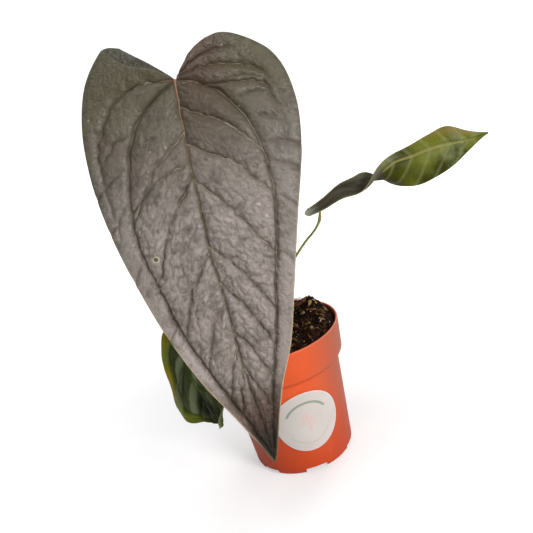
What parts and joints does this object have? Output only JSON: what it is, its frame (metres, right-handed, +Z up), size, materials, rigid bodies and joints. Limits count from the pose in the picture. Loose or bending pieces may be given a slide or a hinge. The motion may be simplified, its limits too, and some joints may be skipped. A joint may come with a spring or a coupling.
{
  "type": "potted anthurium plant",
  "caption": "Young velvet-leaved anthurium in a small round nursery pot: one large hanging heart-shaped leaf, a smaller old leaf and a new leaf still unrolling.",
  "frame": {"origin": "centre of the pot's flat base, on the surface that it stands on", "axes": "+Z up along the pot's axis; -Y is the front, where the sticker is and where the large leaf hangs; the new leaf points to +X"},
  "size_m": [0.1893, 0.1079, 0.2297],
  "materials": {
    "pot_plastic": "satin moulded terracotta-orange plastic",
    "label_paper": "plain matt paper sticker",
    "potting_mix": "damp, coarse, near black",
    "bark": "rough broken bark",
    "perlite": "rough, chalky",
    "granule": "smooth coated granule",
    "coir": "dry fibre",
    "root": "smooth pinkish brown aerial root",
    "stem_skin": "ringed green-brown stem",
    "stalk_skin": "smooth olive green stalk",
    "papery_sheath": "dry papery scale",
    "leaf_dark": "velvety, quilted between sunken veins",
    "leaf_green": "glossy dark green with a yellow-green margin",
    "leaf_young": "satin, olive green below and dark above"
  },
  "bodies": {
    "root": {"aerial_root_1": "root", "aerial_root_2": "root", "aerial_root_3": "root", "aerial_root_4": "root", "aerial_root_5": "root", "bark_chip_1": "bark", "bark_chip_10": "bark", "bark_chip_11": "bark", "bark_chip_2": "bark", "bark_chip_3": "bark", "bark_chip_4": "bark", "bark_chip_5": "bark", "bark_chip_6": "bark", "bark_chip_7": "bark", "bark_chip_8": "bark", "bark_chip_9": "bark", "coir_fibre_1": "coir", "coir_fibre_2": "coir", "coir_fibre_3": "coir", "fertiliser_granule_1": "granule", "fertiliser_granule_2": "granule", "fertiliser_granule_3": "granule", "leaf_large": "leaf_dark", "leaf_new": "leaf_young", "leaf_old": "leaf_green", "perlite_1": "perlite", "perlite_2": "perlite", "perlite_3": "perlite", "perlite_4": "perlite", "perlite_5": "perlite", "perlite_6": "perlite", "petiole_large": "stalk_skin", "petiole_new": "stalk_skin", "petiole_old": "stalk_skin", "pot": "pot_plastic", "pot_label": "label_paper", "potting_mix": "potting_mix", "sheath_1": "papery_sheath", "sheath_2": "papery_sheath", "sheath_3": "papery_sheath", "stem": "stem_skin"}
  },
  "joints": []
}
